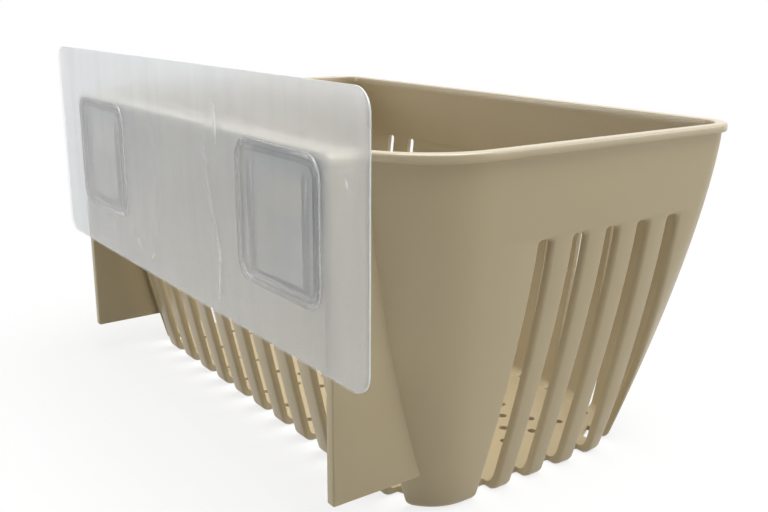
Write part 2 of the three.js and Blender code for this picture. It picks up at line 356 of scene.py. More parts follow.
def combine(base: bpy.types.Object, steps: Sequence[tuple[Join, bpy.types.Object]]) -> None:
    """Add solids to and cut solids from a base, in order, and delete them afterwards.

    Args:
        base: first solid, which gets the new mesh.
        steps: how each further solid changes it.
    """
    for join, tool in steps:
        change = base.modifiers.new(tool.name, "BOOLEAN")
        change.operation = join.value
        change.solver = "MANIFOLD"
        change.object = tool
    settle(base)
    remove(*(tool for _, tool in steps))


def blank_tree(block: bpy.types.Material | bpy.types.World) -> Adder:
    """Give a material or a world an empty node tree.

    Args:
        block: the material or the world.

    Returns:
        The call that adds a node to the tree.
    """
    block.use_nodes = True
    block.node_tree.nodes.clear()
    return partial(add_node, block.node_tree)


def new_material(
    name: str
) -> tuple[bpy.types.Material, bpy.types.Node, Adder, bpy.types.NodeSocket]:
    """Start a material with one shader and the output.

    Args:
        name: name of the material.

    Returns:
        The material, its shader node, the call that adds a node to its tree, and the place on the
        object.
    """
    material = bpy.data.materials.new(name)
    add = blank_tree(material)
    shader = add("ShaderNodeBsdfPrincipled")
    add("ShaderNodeOutputMaterial", {"Surface": shader})
    return material, shader, add, add("ShaderNodeTexCoord").outputs["Object"]


@dataclass(frozen=True)
class Plastic:
    """Injection-moulded polypropylene, coloured through."""

    name: str = "moulded_polypropylene"
    tone: str = "#B6A888"
    warm_tone: str = "#B3A280"
    dust: str = "#6A5E49"
    roughness: float = 0.36
    mottle_size: float = 45.0
    dust_spacing: float = 14.0
    dust_size: float = 0.3
    dust_share: float = 0.07
    dust_fade: float = 1.6
    dust_cover: float = 0.75
    gloss_spread: Flat = (-0.05, 0.07)
    ripple_size: float = 22.0
    ripple_bump: Flat = (0.05, 2.0)
    grain_size: float = 0.45
    grain_bump: Flat = (0.08, 0.1)
    polish: float = 0.9
    polish_roughness: float = 0.2
    polish_heights: Flat = (105.8, 107.0)

    def material(self) -> bpy.types.Material:
        """Build the material.

        Returns:
            The material.
        """
        # A satin mould finish: a soft, low gloss over an even beige that clouds slightly where the melt
        # flowed, with a few specks of dust that cling to it.
        material, shader, add, where = new_material(self.name)
        # The mould's grain is about 0.05 mm, and is drawn nine times as coarse so that it shows.
        cloud, ripple, grain = (
            add("ShaderNodeTexNoise", {"Vector": where, "Scale": pattern_scale(size), "Detail": detail})
            for size, detail in ((self.mottle_size, 4.0), (self.ripple_size, 1.0), (self.grain_size, 2.0))
        )
        tones = {"Factor": cloud, 6: linear(self.tone), 7: linear(self.warm_tone)}
        body = add("ShaderNodeMix", tones, data_type="RGBA").outputs[2]
        dots = add("ShaderNodeTexVoronoi", {"Vector": where, "Scale": pattern_scale(self.dust_spacing)})
        draw = {0: dots.outputs["Color"], 1: 1 - self.dust_share}
        chosen = add("ShaderNodeMath", draw, operation="GREATER_THAN")
        reach = self.dust_size / self.dust_spacing
        small = add("ShaderNodeMapRange", {
            "Value": dots, "From Min": self.dust_fade * reach, "From Max": reach,
            "To Max": self.dust_cover,
        })
        speck = add("ShaderNodeMath", {0: chosen, 1: small}, operation="MULTIPLY")
        colour = add("ShaderNodeMix", {"Factor": speck, 6: body, 7: linear(self.dust)}, data_type="RGBA")
        gloss = add("ShaderNodeMapRange", {
            "Value": cloud, "From Min": NOISE_RANGE[0], "From Max": NOISE_RANGE[1],
            "To Min": self.roughness + self.gloss_spread[0],
            "To Max": self.roughness + self.gloss_spread[1],
        })
        strength, depth = self.ripple_bump
        wave = add("ShaderNodeBump", {"Height": ripple, "Strength": strength, "Distance": depth * MM})
        strength, depth = self.grain_bump
        bump = add("ShaderNodeBump", {
            "Height": grain, "Normal": wave, "Strength": strength, "Distance": depth * MM,
        })
        # The rim comes from the polished edge of the mould, so it is smoother than the walls.
        height = add("ShaderNodeSeparateXYZ", {0: where}).outputs["Z"]
        low, high = (place((0.0, 0.0, level))[2] for level in self.polish_heights)
        polish = add("ShaderNodeMapRange", {
            "Value": height, "From Min": low, "From Max": high, "To Max": self.polish,
        })
        feed(shader, {
            "Base Color": colour.outputs[2], "Roughness": gloss, "Normal": bump,
            "Coat Weight": polish, "Coat Roughness": self.polish_roughness,
        })
        return material


@dataclass(frozen=True)
class FrostedFilm:
    """Calendered soft PVC film with a matt face."""

    name: str = "frosted_pvc_film"
    tone: str = "#F3F6F8"
    roughness: float = 0.3
    index: float = 1.25
    clear_share: float = 0.84
    clear_spread: float = 0.03
    edge_share: float = 0.35
    cloud_size: float = 50.0
    grain_size: float = 0.6
    grain_bump: Flat = (0.03, 0.1)

    def material(self) -> bpy.types.Material:
        """Build the material.

        Returns:
            The material.
        """
        # A milky, slightly blue film: what lies close behind it shows softly and what lies further back
        # blurs away, and its cut edges catch the light as a thin white line.
        material, shader, add, where = new_material(self.name)
        # The matt grain is about 0.1 mm, and is drawn six times as coarse so that it shows.
        cloud, grain = (
            add("ShaderNodeTexNoise", {"Vector": where, "Scale": pattern_scale(size), "Detail": detail})
            for size, detail in ((self.cloud_size, 3.0), (self.grain_size, 2.0))
        )
        face = add("ShaderNodeMapRange", {
            "Value": cloud, "From Min": NOISE_RANGE[0], "From Max": NOISE_RANGE[1],
            "To Min": self.clear_share - self.clear_spread, "To Max": self.clear_share + self.clear_spread,
        })
        rim = add("ShaderNodeAttribute", attribute_name="cut_edge").outputs["Fac"]
        feed(shader, {
            "Base Color": linear(self.tone), "Roughness": self.roughness, "IOR": self.index,
            "Transmission Weight": add("ShaderNodeMix", {"Factor": rim, 2: face, 3: self.edge_share}),
            "Normal": add("ShaderNodeBump", {
                "Height": grain, "Strength": self.grain_bump[0], "Distance": self.grain_bump[1] * MM,
            }),
        })
        return material


@dataclass(frozen=True)
class ClearPlastic:
    """Injection-moulded clear polystyrene of the hooks."""

    name: str = "clear_polystyrene"
    tone: str = "#FDFDFE"
    roughness: float = 0.04
    index: float = 1.4
    edge_index: float = 3.4
    edge_share: float = 0.55
    body: float = 0.6
    soft_edge: float = 0.8
    flow_size: float = 9.0
    flow_bump: Flat = (0.12, 0.5)
    edge_roughness: float = 0.1

    def material(self) -> bpy.types.Material:
        """Build the material.

        Returns:
            The material.
        """
        # Clear and glossy, with faint flow marks that bend what is behind. The bright line along every
        # edge is partly a painted highlight, a milky white on the narrow edge strips, and partly a real
        # reflection in their strong coat.
        material, shader, add, where = new_material(self.name)
        flow = add("ShaderNodeTexNoise", {
            "Vector": where, "Scale": pattern_scale(self.flow_size), "Detail": 2.0,
        })
        # The edges are rounded in the shading over a wider strip than in the mesh, so that they gleam.
        soft = add("ShaderNodeBevel", {"Radius": self.soft_edge * MM}, samples=6)
        rim = add("ShaderNodeAttribute", attribute_name="cut_edge").outputs["Fac"]
        # Its plates are too thin to shift what is behind them, so part of the light goes straight through.
        # The rounded edges mirror the bright surroundings, by a strong coat on their narrow strips.
        feed(shader, {
            "Base Color": linear(self.tone), "Roughness": self.roughness, "IOR": self.index,
            # The edge strips let less light through, which paints them milky white as highlight lines.
            "Transmission Weight": add("ShaderNodeMix", {"Factor": rim, 2: 1.0, 3: self.edge_share}),
            "Alpha": add("ShaderNodeMix", {"Factor": rim, 2: self.body, 3: 1.0}),
            "Coat Weight": rim, "Coat IOR": self.edge_index, "Coat Roughness": self.edge_roughness,
            "Normal": add("ShaderNodeBump", {
                "Height": flow, "Normal": soft,
                "Strength": self.flow_bump[0], "Distance": self.flow_bump[1] * MM,
            }),
        })
        return material


@dataclass(frozen=True)
class Gel:
    """Clear acrylic adhesive, cast as a thin layer."""

    name: str = "acrylic_adhesive"
    tone: str = "#EEF2F4"
    roughness: float = 0.3
    veil: float = 0.03
    bubble_veil: float = 0.07
    bubble_spacing: float = 6.0
    bubble_edge: Flat = (0.05, 0.12)

    def material(self) -> bpy.types.Material:
        """Build the material.

        Returns:
            The material.
        """
        # Almost invisible: a faint even veil with small bubbles in it.
        material, shader, add, where = new_material(self.name)
        cells = add("ShaderNodeTexVoronoi", {"Vector": where, "Scale": pattern_scale(self.bubble_spacing)})
        bubble = add("ShaderNodeMapRange", {
            "Value": cells, "From Min": self.bubble_edge[0], "From Max": self.bubble_edge[1],
            "To Min": self.bubble_veil, "To Max": self.veil,
        })
        feed(shader, {"Base Color": linear(self.tone), "Roughness": self.roughness, "Alpha": bubble})
        return material


@dataclass(frozen=True)
class Crease:
    """One lens-shaped air pocket or fold under the liner."""

    x: float
    height: float
    half_width: float
    half_length: float
    lean: float
    strength: float


@dataclass(frozen=True)
class LinerFilm:
    """Thin polypropylene release film, laid on by hand."""

    name: str = "polypropylene_liner"
    tone: str = "#F7F9FC"
    roughness: float = 0.18
    fold_roughness: float = 0.15
    veil: float = 0.025
    streak_veil: float = 0.075
    streak_size: float = 11.0
    streak_range: Flat = (0.45, 0.75)
    streak_stretch: float = 0.08
    streak_bump: Flat = (0.15, 0.5)
    pocket_core: float = 0.55
    sheen: Flat = (0.04, 0.9)
    creases: tuple[Crease, ...] = (
        Crease(-31.8, 110.5, 1.2, 8.4, 0.03, 0.42),
        Crease(-24.0, 98.6, 0.30, 6.5, 0.09, 0.35),
        Crease(-25.6, 89.6, 0.32, 5.2, 0.26, 0.40),
        Crease(-30.1, 75.8, 0.30, 10.8, 0.34, 0.32),
        Crease(-31.0, 62.5, 0.9, 8.2, -0.08, 0.40),
        Crease(33.0, 60.0, 1.0, 3.6, 0.9, 0.22),
        Crease(21.0, 57.5, 0.7, 3.0, -0.7, 0.25),
        Crease(-100.8, 102.6, 0.7, 1.9, 0.4, 0.45),
    )

    def material(self) -> bpy.types.Material:
        """Build the material.

        Returns:
            The material.
        """
        # Glossy and nearly clear: it shows by a few upright folds and air pockets that turn white.
        material, shader, add, where = new_material(self.name)
        upright = add("ShaderNodeMapping", {"Vector": where, "Scale": (1.0, 1.0, self.streak_stretch)})
        folds = add("ShaderNodeTexNoise", {
            "Vector": upright, "Scale": pattern_scale(self.streak_size), "Detail": 2.0,
        })
        alpha = add("ShaderNodeMapRange", {
            "Value": folds, "From Min": self.streak_range[0], "From Max": self.streak_range[1],
            "To Min": self.veil, "To Max": self.streak_veil,
        })
        for crease in self.creases:
            pocket = add("ShaderNodeMapping", {
                "Vector": where,
                "Location": place((crease.x, 0.0, crease.height)),
                "Rotation": (0.0, crease.lean, 0.0),
                "Scale": (crease.half_width * MM, 1.0, crease.half_length * MM),
            }, vector_type="TEXTURE")
            reach = add("ShaderNodeVectorMath", {0: pocket}, operation="LENGTH").outputs["Value"]
            white = add("ShaderNodeMapRange", {
                "Value": reach, "From Min": 1.0, "From Max": self.pocket_core, "To Max": crease.strength,
            }, interpolation_type="SMOOTHSTEP")
            alpha = add("ShaderNodeMath", {0: alpha, 1: white}, operation="MAXIMUM")
        strength, depth = self.streak_bump
        bump = add("ShaderNodeBump", {"Height": folds, "Strength": strength, "Distance": depth * MM})
        feed(shader, {"Base Color": linear(self.tone), "Roughness": self.fold_roughness, "Normal": bump})
        # The rise of the reflection towards a grazing view, by Schlick's rule.
        facing = add("ShaderNodeLayerWeight", {"Blend": 0.5}).outputs["Facing"]
        steep = add("ShaderNodeMath", {0: facing, 1: SCHLICK_POWER}, operation="POWER")
        least, rise = self.sheen
        gloss = add("ShaderNodeMath", {0: steep, 1: rise, 2: least}, operation="MULTIPLY_ADD")
        clear = add("ShaderNodeBsdfTransparent")
        shine = add("ShaderNodeBsdfGlossy", {"Roughness": self.roughness, "Normal": bump})
        film = add("ShaderNodeMixShader", {0: gloss, 1: clear, 2: shine})
        output = shader.outputs[0].links[0].to_node
        feed(output, {"Surface": add("ShaderNodeMixShader", {0: alpha, 1: film, 2: shader})})
        return material


@dataclass(frozen=True)
class Plan:
    """Plan of the basket at one height: half length, depths of its sides and corner radii."""

    half: float
    rear: float
    front: float
    rear_corner: float
    front_corner: float

    def towards(self, other: Plan, share: float) -> Plan:
        """Blend this plan with another one by a share from nought to one."""
        names = ("half", "rear", "front", "rear_corner", "front_corner")
        return Plan(*(getattr(self, name) * (1 - share) + getattr(other, name) * share for name in names))

    def ring(self, height: float, inset: float, steps: int) -> list[Point]:
        """Ring of points around the plan, anticlockwise from above.

        Args:
            height: height of the ring.
            inset: how far the ring lies inside the plan.
            steps: facets of each corner.

        Returns:
            The ring's points.
        """
        half, rear, front = self.half - inset, -self.rear - inset, -self.front + inset
        rear_corner = max(self.rear_corner - inset, LEAST_CORNER)
        front_corner = max(self.front_corner - inset, LEAST_CORNER)
        corners = [
            (half - rear_corner, rear - rear_corner, rear_corner),
            (rear_corner - half, rear - rear_corner, rear_corner),
            (front_corner - half, front + front_corner, front_corner),
            (half - front_corner, front + front_corner, front_corner),
        ]
        return [
            (*spot, height)
            for quarter, (x, y, radius) in enumerate(corners)
            for spot in arc((x, y), radius, quarter, quarter + 1, steps)
        ]

    def outward(self, side: Side, along: float, inset: float) -> float:
        """Place of the wall along a side's outward direction, which falls back round the corners.

        Args:
            side: side of the basket.
            along: place along the side.
            inset: how far inside the plan the wall's skin lies.

        Returns:
            Distance outwards from the frame's origin.
        """
        if side is Side.REAR:
            out, past, corner = -self.rear, abs(along) - self.half + self.rear_corner, self.rear_corner
        elif side is Side.FRONT:
            out, past, corner = self.front, abs(along) - self.half + self.front_corner, self.front_corner
        elif along > -self.rear - self.rear_corner:
            out, past, corner = self.half, along + self.rear + self.rear_corner, self.rear_corner
        else:
            out, past, corner = self.half, self.front_corner - self.front - along, self.front_corner
        radius = max(corner - inset, LEAST_CORNER)
        past = min(max(past, 0.0), radius)
        return out - inset - radius + math.sqrt(radius ** 2 - past ** 2)


@dataclass(frozen=True)
class Slot:
    """Sizes of one kind of slot, which is wider at its foot."""

    top: float
    lean: float = 0.0
    lean_curve: float = 1.5
    top_width: float = 5.4
    foot_width: float = 7.5
    corner: float = 1.5
    foot_corner: float = 0.4
    bite: float = 4.5
    outer_round: float = 1.1
    inner_round: float = 0.25

    def share_up(self, height: float) -> float:
        """How far up the slot a height is, from nought at the underside to one at the slot's top."""
        return min(1.0, max(0.0, height / self.top))

    def half_width(self, height: float) -> float:
        """Half of the slot's width at a height."""
        share = self.share_up(height)
        return (self.foot_width * (1 - share) + self.top_width * share) / 2

    def shift(self, height: float) -> float:
        """How far the slot's middle stands along its side from the slot's top, on a light curve."""
        return self.lean * (1 - self.share_up(height)) ** self.lean_curve


@dataclass(frozen=True)
class Basket:
    """The moulded basket: shell, rear frame, hanging tabs, slots and drain holes."""

    wall_top: Plan = Plan(108.5, 9.6, 142.6, 30.0, 11.0)
    base: Plan = Plan(94.5, 28.6, 128.5, 17.0, 31.0)
    rim: float = 108.3
    rim_round: float = 0.7
    lip_height: float = 2.6
    lip_overhang: float = 1.5
    lip_round: float = 0.5
    wall: float = 2.4
    floor: float = 2.4
    foot_round: float = 2.6
    floor_round: float = 2.0
    wall_curve: float = 1.4
    fin_outer: float = 91.4
    fin_thickness: float = 3.4
    fin_bottom: float = 12.2
    frame_plane: float = 1.6
    frame_corner: float = 3.0
    frame_round: float = 0.6
    frame_drop: float = 0.02
    ledge: float = 2.2
    tab_width: float = 30.0
    tab_depths: Flat = (2.9, 4.9)
    tab_bottom: float = 88.1
    tab_middle: float = HOOK_MIDDLE
    tab_ease: tuple[Flat, ...] = ((0.0, 0.8), (0.2, 0.3), (0.6, 0.0))
    slot_pitch: float = 14.85
    end_slot: Slot = Slot(top=81.3, lean=8.2)
    rear_slot: Slot = Slot(top=81.3)
    front_slot: Slot = Slot(top=83.8, top_width=4.4, foot_width=6.5, outer_round=0.4)
    low_front_slot: Slot = Slot(top=73.8, top_width=4.4, foot_width=6.5, outer_round=0.4)
    slot_flare: float = 0.93
    slot_rise: float = 0.25
    corner_rise: float = 1.5
    slot_end: float = 1.7
    end_slots: int = 5
    end_slot_pitch: float = 13.75
    end_slot_start: float = -117.2
    rear_slots: int = 12
    front_slots: int = 3
    front_slot_start: float = 68.85
    hole_diameter: float = 3.0
    hole_ease: float = 0.2
    hole_reach: float = 0.6
    hole_facets: int = 14
    hole_row_pitch: float = 6.4
    hole_row_margin: float = 7.6
    hole_columns: int = 10
    hole_rows: int = 7
    corner_steps: int = 16
    round_steps: int = 8
    slot_steps: int = 5
    edge_steps: int = 4
    wall_steps: int = 40
    path_start: float = 10.0
    path_past: float = 6.0
    core_past: float = 3.0
    finish: Plastic = Plastic()

    @property
    def lip_bottom(self) -> float:
        """Height of the lip's lower face."""
        return self.rim - self.lip_height

    def plan_at(self, height: float) -> Plan:
        """Plan of the outer wall at a height."""
        share = max(0.0, 1 - height / self.lip_bottom) ** self.wall_curve
        return self.wall_top.towards(self.base, share)

    def ring(self, height: float, inset: float) -> list[Point]:
        """Ring inside the outer wall at a height."""
        return self.plan_at(height).ring(height, inset, self.corner_steps)

    def foot_stations(self, bottom: float, radius: float, inset: float) -> list[Flat]:
        """Heights and insets around a rounded foot, from the bottom face up to the wall's inset."""
        return arc((bottom + radius, inset + radius), radius, 2, 3, self.round_steps)

    def wall_heights(self, low: float, high: float) -> list[float]:
        """Heights of the rings between two heights, both left out."""
        return [low + (high - low) * step / self.wall_steps for step in range(1, self.wall_steps)]

    def shell(self) -> bpy.types.Object:
        """Make the plain shell: outer wall, lip, inner wall and floor in one closed skin.

        Returns:
            The shell, which becomes the finished basket.
        """
        outer = self.foot_stations(0.0, self.foot_round, 0.0)
        inner = self.foot_stations(self.floor, self.floor_round, self.wall)
        over, under, edge, steps = self.lip_overhang, self.lip_round, self.rim_round, self.edge_steps
        shoulder = self.rim - edge
        stations = [
            *outer,
            *((height, 0.0) for height in self.wall_heights(outer[-1][0], self.lip_bottom)),
            (self.lip_bottom, 0.0),
            *arc((self.lip_bottom + under, under - over), under, 2, 3, steps),
            *arc((shoulder, edge - over), edge, -1, 0, steps),
            *arc((shoulder, self.wall - edge), edge, 0, 1, steps),
            *((height, self.wall) for height in reversed(self.wall_heights(inner[-1][0], shoulder))),
            *reversed(inner),
        ]
        return lofted("basket_moulding", [self.ring(height, inset) for height, inset in stations])

    def core(self) -> bpy.types.Object:
        """Make the solid that trims the rear frame half way through the wall.

        Returns:
            The solid.
        """
        half_wall, lip = self.wall / 2, self.lip_bottom
        heights = [half_wall, *self.wall_heights(half_wall, lip), lip, self.rim + self.core_past]
        return lofted("core", [self.ring(height, half_wall) for height in heights])

    def rear_frame(self) -> bpy.types.Object:
        """Make the two fins and the ledge over them as one arch with rounded rear edges.

        Returns:
            The arch, which reaches well into the basket.
        """
        inner = self.fin_outer - self.fin_thickness
        under, corner = self.rim - self.ledge, self.frame_corner
        centre = self.fin_outer - corner, self.rim - self.frame_drop - corner
        right_top = arc(centre, corner, 0, 1, self.round_steps)
        outline = [
            (-inner, self.fin_bottom), (-inner, under), (inner, under), (inner, self.fin_bottom),
            (self.fin_outer, self.fin_bottom),
            *right_top,
            *((-x, z) for x, z in reversed(right_top)),
            (-self.fin_outer, self.fin_bottom),
        ]

        def soften(work: bmesh.types.BMesh) -> None:
            """Round the arch's rear edges and the feet of the fins.

            Args:
                work: the arch's mesh.
            """
            edges = [
                edge for edge in work.edges
                if all(abs(end.co.y + self.frame_plane) < TOUCH for end in edge.verts)
                or all(abs(end.co.z - self.fin_bottom) < TOUCH for end in edge.verts)
            ]
            round_edges(work, edges, self.frame_round)

        depths = (self.frame_plane, self.base.rear + self.base.rear_corner)
        return lofted("rear_frame", [[(x, -depth, z) for x, z in outline] for depth in depths], soften)

    def tab(self) -> bpy.types.Object:
        """Make one hanging tab about x = 0.

        Returns:
            The tab.
        """
        back, front = self.tab_depths
        low, high = self.tab_bottom, self.rim - self.ledge / 2
        profile = [
            (-back, high),
            *((-back - across, low + up) for across, up in self.tab_ease),
            *((-front + across, low + up) for across, up in reversed(self.tab_ease)),
            (-front, high),
        ]
        return side_prism("tab", profile, -self.tab_width / 2, self.tab_width)

    @staticmethod
    def on_side(side: Side, out: float, along: float, height: float) -> Point:
        """Find a point from its place outwards from a side and along it.

        Args:
            side: side of the basket.
            out: place along the side's outward direction.
            along: place along the side.
            height: height of the point.

        Returns:
            The point.
        """
        if side is Side.REAR:
            return along, out, height
        if side is Side.FRONT:
            return along, -out, height
        return (out if side is Side.END_LEFT else -out), along, height

    def section_stations(self, slot: Slot) -> list[tuple[Flat, Flat]]:
        """Outer and inner stations of the wall's section, from the floor up past a slot's top.

        Args:
            slot: the slot that will be cut.

        Returns:
            Pairs of outer and inner station, each a height and an inset.
        """
        outer = self.foot_stations(0.0, self.foot_round, 0.0)
        inner = self.foot_stations(self.floor, self.floor_round, self.wall)
        start = ((0.0, self.path_start), (self.floor, self.path_start))
        walls = [
            ((height, 0.0), (height, self.wall))
            for height in self.wall_heights(self.foot_round, self.lip_bottom)
            if height < slot.top + self.path_past
        ]
        return [start, *zip(outer, inner), *walls]

    def slot_cutter(self, side: Side, slot: Slot, at: float) -> bpy.types.Object:
        """Make the solid that cuts one slot and rounds the slot's edges on both faces of the wall.

        Args:
            side: side of the basket.
            slot: sizes of the slot.
            at: place of the slot's top along the side.

        Returns:
            The cutter.
        """
        stations = self.section_stations(slot)

        def skin(station: tuple[Flat, Flat], face: int, along: float) -> Vector:
            """Place outwards and height of the outer (0) or inner (1) skin at a station."""
            height, inset = station[face]
            return Vector((self.plan_at(height).outward(side, along, inset), height))

        outer = [skin(station, 0, at) for station in stations]
        reach = [0.0]
        for before, after in zip(outer, outer[1:]):
            reach.append(reach[-1] + (after - before).length)

        def section(distance: float) -> tuple[Flat, Flat]:
            """Find the station at a distance along the section.

            Args:
                distance: distance from the section's start.

            Returns:
                The outer and the inner station.
            """
            step = max(1, min(len(stations) - 1, sum(mark < distance for mark in reach)))
            share = (distance - reach[step - 1]) / (reach[step] - reach[step - 1])
            before, after = stations[step - 1], stations[step]
            return tuple(tuple(Vector(before[face]).lerp(Vector(after[face]), share)) for face in (0, 1))

        low = self.path_start - slot.bite
        past = next(step for step, spot in enumerate(outer) if spot.y >= slot.top)
        share = (slot.top - outer[past - 1].y) / (outer[past].y - outer[past - 1].y)
        high = reach[past - 1] + share * (reach[past] - reach[past - 1])
        marks = [mark for mark in reach if low + self.slot_end < mark < high - self.slot_end]

        def edge(growth: float) -> list[Flat]:
            """Follow one side of the slot, grown by a margin.

            Args:
                growth: the margin.

            Returns:
                Distances along the section with the half widths there.
            """
            corner, foot = slot.corner + growth / 2, slot.foot_corner + growth / 2
            bottom, top = low - growth + foot, high + growth - corner
            halves = [slot.half_width(section(mark)[0][0]) + growth for mark in (bottom, *marks, top)]
            return [
                *arc((bottom, halves[0] - foot), foot, 2, 1, self.slot_steps),
                *zip(marks, halves[1:-1]),
                *arc((top, halves[-1] - corner), corner, 1, 0, self.slot_steps),
            ]

        rings = []
        for face, radius in ((0, slot.outer_round), (1, slot.inner_round)):
            flare = radius + self.slot_flare
            # The first third of the edge's rounding is left out, where the flare meets it.
            levels = [(flare, -self.slot_rise), *arc((radius, radius), radius, -4 / 3, -2, 2)]
            if face == 0:
                # Far enough out to clear the bulge of a corner between the slot's two edges.
                levels.insert(0, (flare, -self.corner_rise))
            for growth, depth in levels if face == 0 else reversed(levels):
                right, left = [], []
                for distance, across in edge(growth):
                    station = section(distance)
                    for row, offset in ((right, across), (left, -across)):
                        along = at + slot.shift(station[0][0]) + offset
                        near, far = skin(station, face, along), skin(station, 1 - face, along)
                        spot = near + (far - near).normalized() * depth
                        row.append(self.on_side(side, spot.x, along, spot.y))
                rings.append(right + left[::-1])
        return lofted(f"slot_{side.value}", rings, rungs=True)

    def hole_cutter(self) -> bpy.types.Object:
        """Make the solid that cuts one drain hole and eases its edges, about the origin.

        Returns:
            The cutter.
        """
        radius, ease, past = self.hole_diameter / 2, self.hole_ease, self.hole_reach
        wide = radius + ease + past
        stations = [(-past, wide), (ease, radius), (self.floor - ease, radius), (self.floor + past, wide)]
        return lofted("drain_hole", [
            [(*spot, height) for spot in arc((0.0, 0.0), reach, 0, 4, self.hole_facets)[:-1]]
            for height, reach in stations
        ])

    def odd_slots(self) -> bpy.types.Object:
        """Make the cutters that no even row holds: those in the round corners and the front slots.

        Returns:
            All of them as one object.
        """
        outermost = (self.rear_slots - 1) / 2 * self.slot_pitch
        places = [
            (Side.END_LEFT, self.end_slot, self.end_slot_start),
            (Side.END_RIGHT, self.end_slot, self.end_slot_start),
            (Side.REAR, self.rear_slot, outermost),
            (Side.REAR, self.rear_slot, -outermost),
        ]
        for index in range(self.front_slots):
            slot = self.front_slot if index + 1 < self.front_slots else self.low_front_slot
            middle = self.front_slot_start - index * self.slot_pitch
            places += [(Side.FRONT, slot, at) for at in (middle, -middle)]
        return merged("odd_slots", [self.slot_cutter(*spot) for spot in places])

    @staticmethod
    def tree() -> bpy.types.NodeTree:
        """Build the node tree that joins the frame and tabs and cuts every row of slots and holes.

        Returns:
            The node tree.
        """
        tree = bpy.data.node_groups.new("basket_moulding", "GeometryNodeTree")
        add = partial(add_node, tree)
        solids = (
            "Rear Frame", "Core", "Tab", "Left Slot", "Right Slot", "Rear Slot", "Odd Slots", "Drain Hole",
        )
        sockets = {
            "Geometry": ("Geometry",),
            "Object": solids,
            "Float": ("Tab Spread", "Slot Pitch", "End Slot Pitch", "Hole Row Pitch", "Hole Field Middle"),
            "Int": ("End Slots", "Rear Slots", "Hole Columns", "Hole Rows"),
            "Material": ("Plastic",),
        }
        for kind, names in sockets.items():
            for name in names:
                tree.interface.new_socket(name=name, in_out="INPUT", socket_type=f"NodeSocket{kind}")
        tree.interface.new_socket(name="Geometry", in_out="OUTPUT", socket_type="NodeSocketGeometry")
        given = add("NodeGroupInput").outputs
        shapes = {
            name: add("GeometryNodeObjectInfo", {"Object": given[name]}).outputs["Geometry"]
            for name in solids
        }

        def repeated(points: bpy.types.Node, name: str) -> bpy.types.Node:
            """Put a copy of a solid on every point."""
            copies = add("GeometryNodeInstanceOnPoints", {"Points": points, "Instance": shapes[name]})
            return add("GeometryNodeRealizeInstances", {0: copies})

        def row(name: str, count: Any, axis: str, step: Any) -> bpy.types.Node:
            """Repeat a solid in an even row that starts where it stands.

            Args:
                name: name of the solid.
                count: number of copies, or the socket that gives it.
                axis: axis that the row follows.
                step: socket that gives the pitch.

            Returns:
                The node that gives the row.
            """
            offset = add("ShaderNodeCombineXYZ", {axis: step})
            line = add("GeometryNodeMeshLine", {"Count": count, "Offset": offset}, mode="OFFSET")
            return repeated(line, name)

        def hole_field(extra: float) -> bpy.types.Node:
            """Set drain holes on every other row.

            Args:
                extra: columns to add, and rows by which the field stands further forward.

            Returns:
                The node that gives the field.
            """
            pitch = given["Hole Row Pitch"]
            doubled = add("ShaderNodeMath", {0: pitch, 1: 2.0}, operation="MULTIPLY")
            field = {}
            for axis, name, more, gap in (
                ("X", "Hole Columns", extra, given["Slot Pitch"]), ("Y", "Hole Rows", 0.0, doubled)
            ):
                count = add("ShaderNodeMath", {0: given[name], 1: more}, operation="ADD")
                gaps = add("ShaderNodeMath", {0: count, 1: -1.0}, operation="ADD")
                field[f"Vertices {axis}"] = count
                field[f"Size {axis}"] = add("ShaderNodeMath", {0: gaps, 1: gap}, operation="MULTIPLY")
            shift = {0: pitch, 1: -extra, 2: given["Hole Field Middle"]}
            forward = add("ShaderNodeMath", shift, operation="MULTIPLY_ADD")
            moved = add("GeometryNodeTransform", {
                "Geometry": add("GeometryNodeMeshGrid", field),
                "Translation": add("ShaderNodeCombineXYZ", {"Y": forward}),
            })
            return repeated(moved, "Drain Hole")

        joining = {"operation": Join.ADD.value, "solver": "MANIFOLD"}
        cutting = {"operation": Join.CUT.value, "solver": "MANIFOLD"}
        trim = {0: shapes["Rear Frame"], 1: shapes["Core"]}
        trimmed = add("GeometryNodeMeshBoolean", trim, **cutting)
        tabs = row("Tab", 2, "X", given["Tab Spread"])
        joined = add("GeometryNodeMeshBoolean", {1: [given["Geometry"], trimmed, tabs]}, **joining)
        cutters = add("GeometryNodeJoinGeometry", {0: [
            row("Left Slot", given["End Slots"], "Y", given["End Slot Pitch"]),
            row("Right Slot", given["End Slots"], "Y", given["End Slot Pitch"]),
            row("Rear Slot", given["Rear Slots"], "X", given["Slot Pitch"]),
            shapes["Odd Slots"],
            hole_field(0.0),
            hole_field(1.0),
        ]})
        cut = add("GeometryNodeMeshBoolean", {0: joined, 1: cutters}, **cutting)
        whole = add("GeometryNodeRealizeInstances", {0: cut})
        dressed = add("GeometryNodeSetMaterial", {"Geometry": whole, "Material": given["Plastic"]})
        add("NodeGroupOutput", {0: dressed})
        return tree

